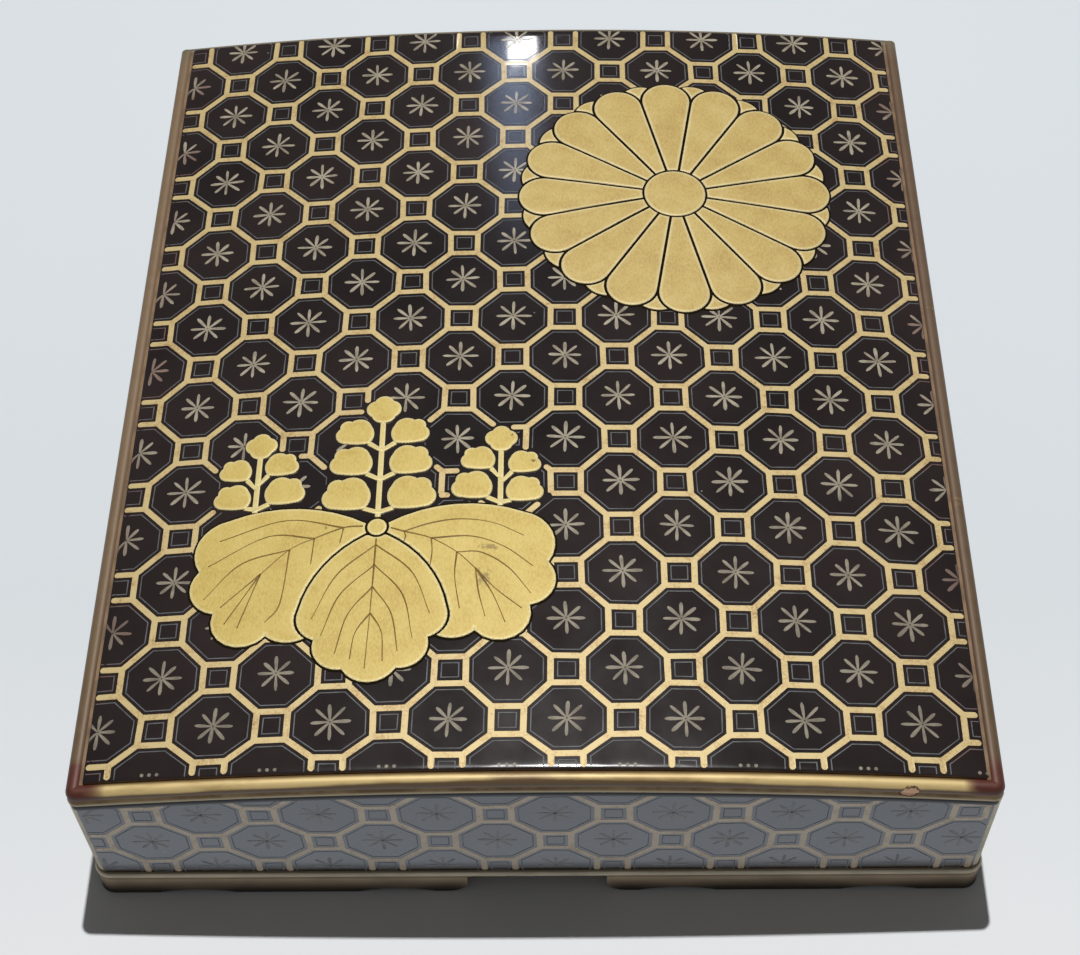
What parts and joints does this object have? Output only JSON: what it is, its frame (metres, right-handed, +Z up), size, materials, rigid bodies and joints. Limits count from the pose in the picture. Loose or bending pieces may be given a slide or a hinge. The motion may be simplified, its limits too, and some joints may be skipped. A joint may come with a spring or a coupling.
{
  "type": "lacquer document box",
  "caption": "Low lacquer document box with an arched overlapping lift-off lid, gold bead rim, octagon lattice pattern, raised flower crests and a gold ledge on scalloped bracket feet.",
  "frame": {"origin": "centre of the footprint, on the surface that the feet stand on", "axes": "+X to the right, +Y from the front to the rear, +Z up; the front faces -Y"},
  "size_m": [0.273, 0.319, 0.0708],
  "materials": {
    "black_lacquered_wood": "glossy black-brown lacquer",
    "inner_lacquered_wood": "glossy dark lacquer",
    "gold_lacquered_wood": "satin antique gold lacquer",
    "raised_gold_lacquer": "satin raised gold lacquer"
  },
  "bodies": {
    "box": {"body_bottom_board": "inner_lacquered_wood", "body_front_wall": "inner_lacquered_wood", "body_rear_wall": "inner_lacquered_wood", "body_left_wall": "inner_lacquered_wood", "body_right_wall": "inner_lacquered_wood", "base_ledge_front": "gold_lacquered_wood", "base_ledge_rear": "gold_lacquered_wood", "base_ledge_left": "gold_lacquered_wood", "base_ledge_right": "gold_lacquered_wood", "foot_front_left": "gold_lacquered_wood", "foot_front_right": "gold_lacquered_wood", "foot_rear_left": "gold_lacquered_wood", "foot_rear_right": "gold_lacquered_wood"},
    "lid": {"lid_top_panel": "black_lacquered_wood", "lid_front_wall": "black_lacquered_wood", "lid_rear_wall": "black_lacquered_wood", "lid_left_wall": "black_lacquered_wood", "lid_right_wall": "black_lacquered_wood", "lid_rim_front": "gold_lacquered_wood", "lid_rim_rear": "gold_lacquered_wood", "lid_rim_left": "gold_lacquered_wood", "lid_rim_right": "gold_lacquered_wood", "corner_bead_front_left": "gold_lacquered_wood", "corner_bead_front_right": "gold_lacquered_wood", "corner_bead_rear_left": "gold_lacquered_wood", "corner_bead_rear_right": "gold_lacquered_wood", "chrysanthemum_front_petals": "raised_gold_lacquer", "chrysanthemum_rear_petals": "raised_gold_lacquer", "chrysanthemum_centre": "raised_gold_lacquer", "paulownia_middle_leaf": "raised_gold_lacquer", "paulownia_left_leaf": "raised_gold_lacquer", "paulownia_right_leaf": "raised_gold_lacquer", "paulownia_knot": "raised_gold_lacquer", "paulownia_middle_spray": "raised_gold_lacquer", "paulownia_left_spray": "raised_gold_lacquer", "paulownia_right_spray": "raised_gold_lacquer"}
  },
  "joints": [
    {"name": "lid_lift", "type": "slide", "parent": "box", "child": "lid", "axis": [0, 0, 1], "range_m": [0, 0.12]}
  ]
}
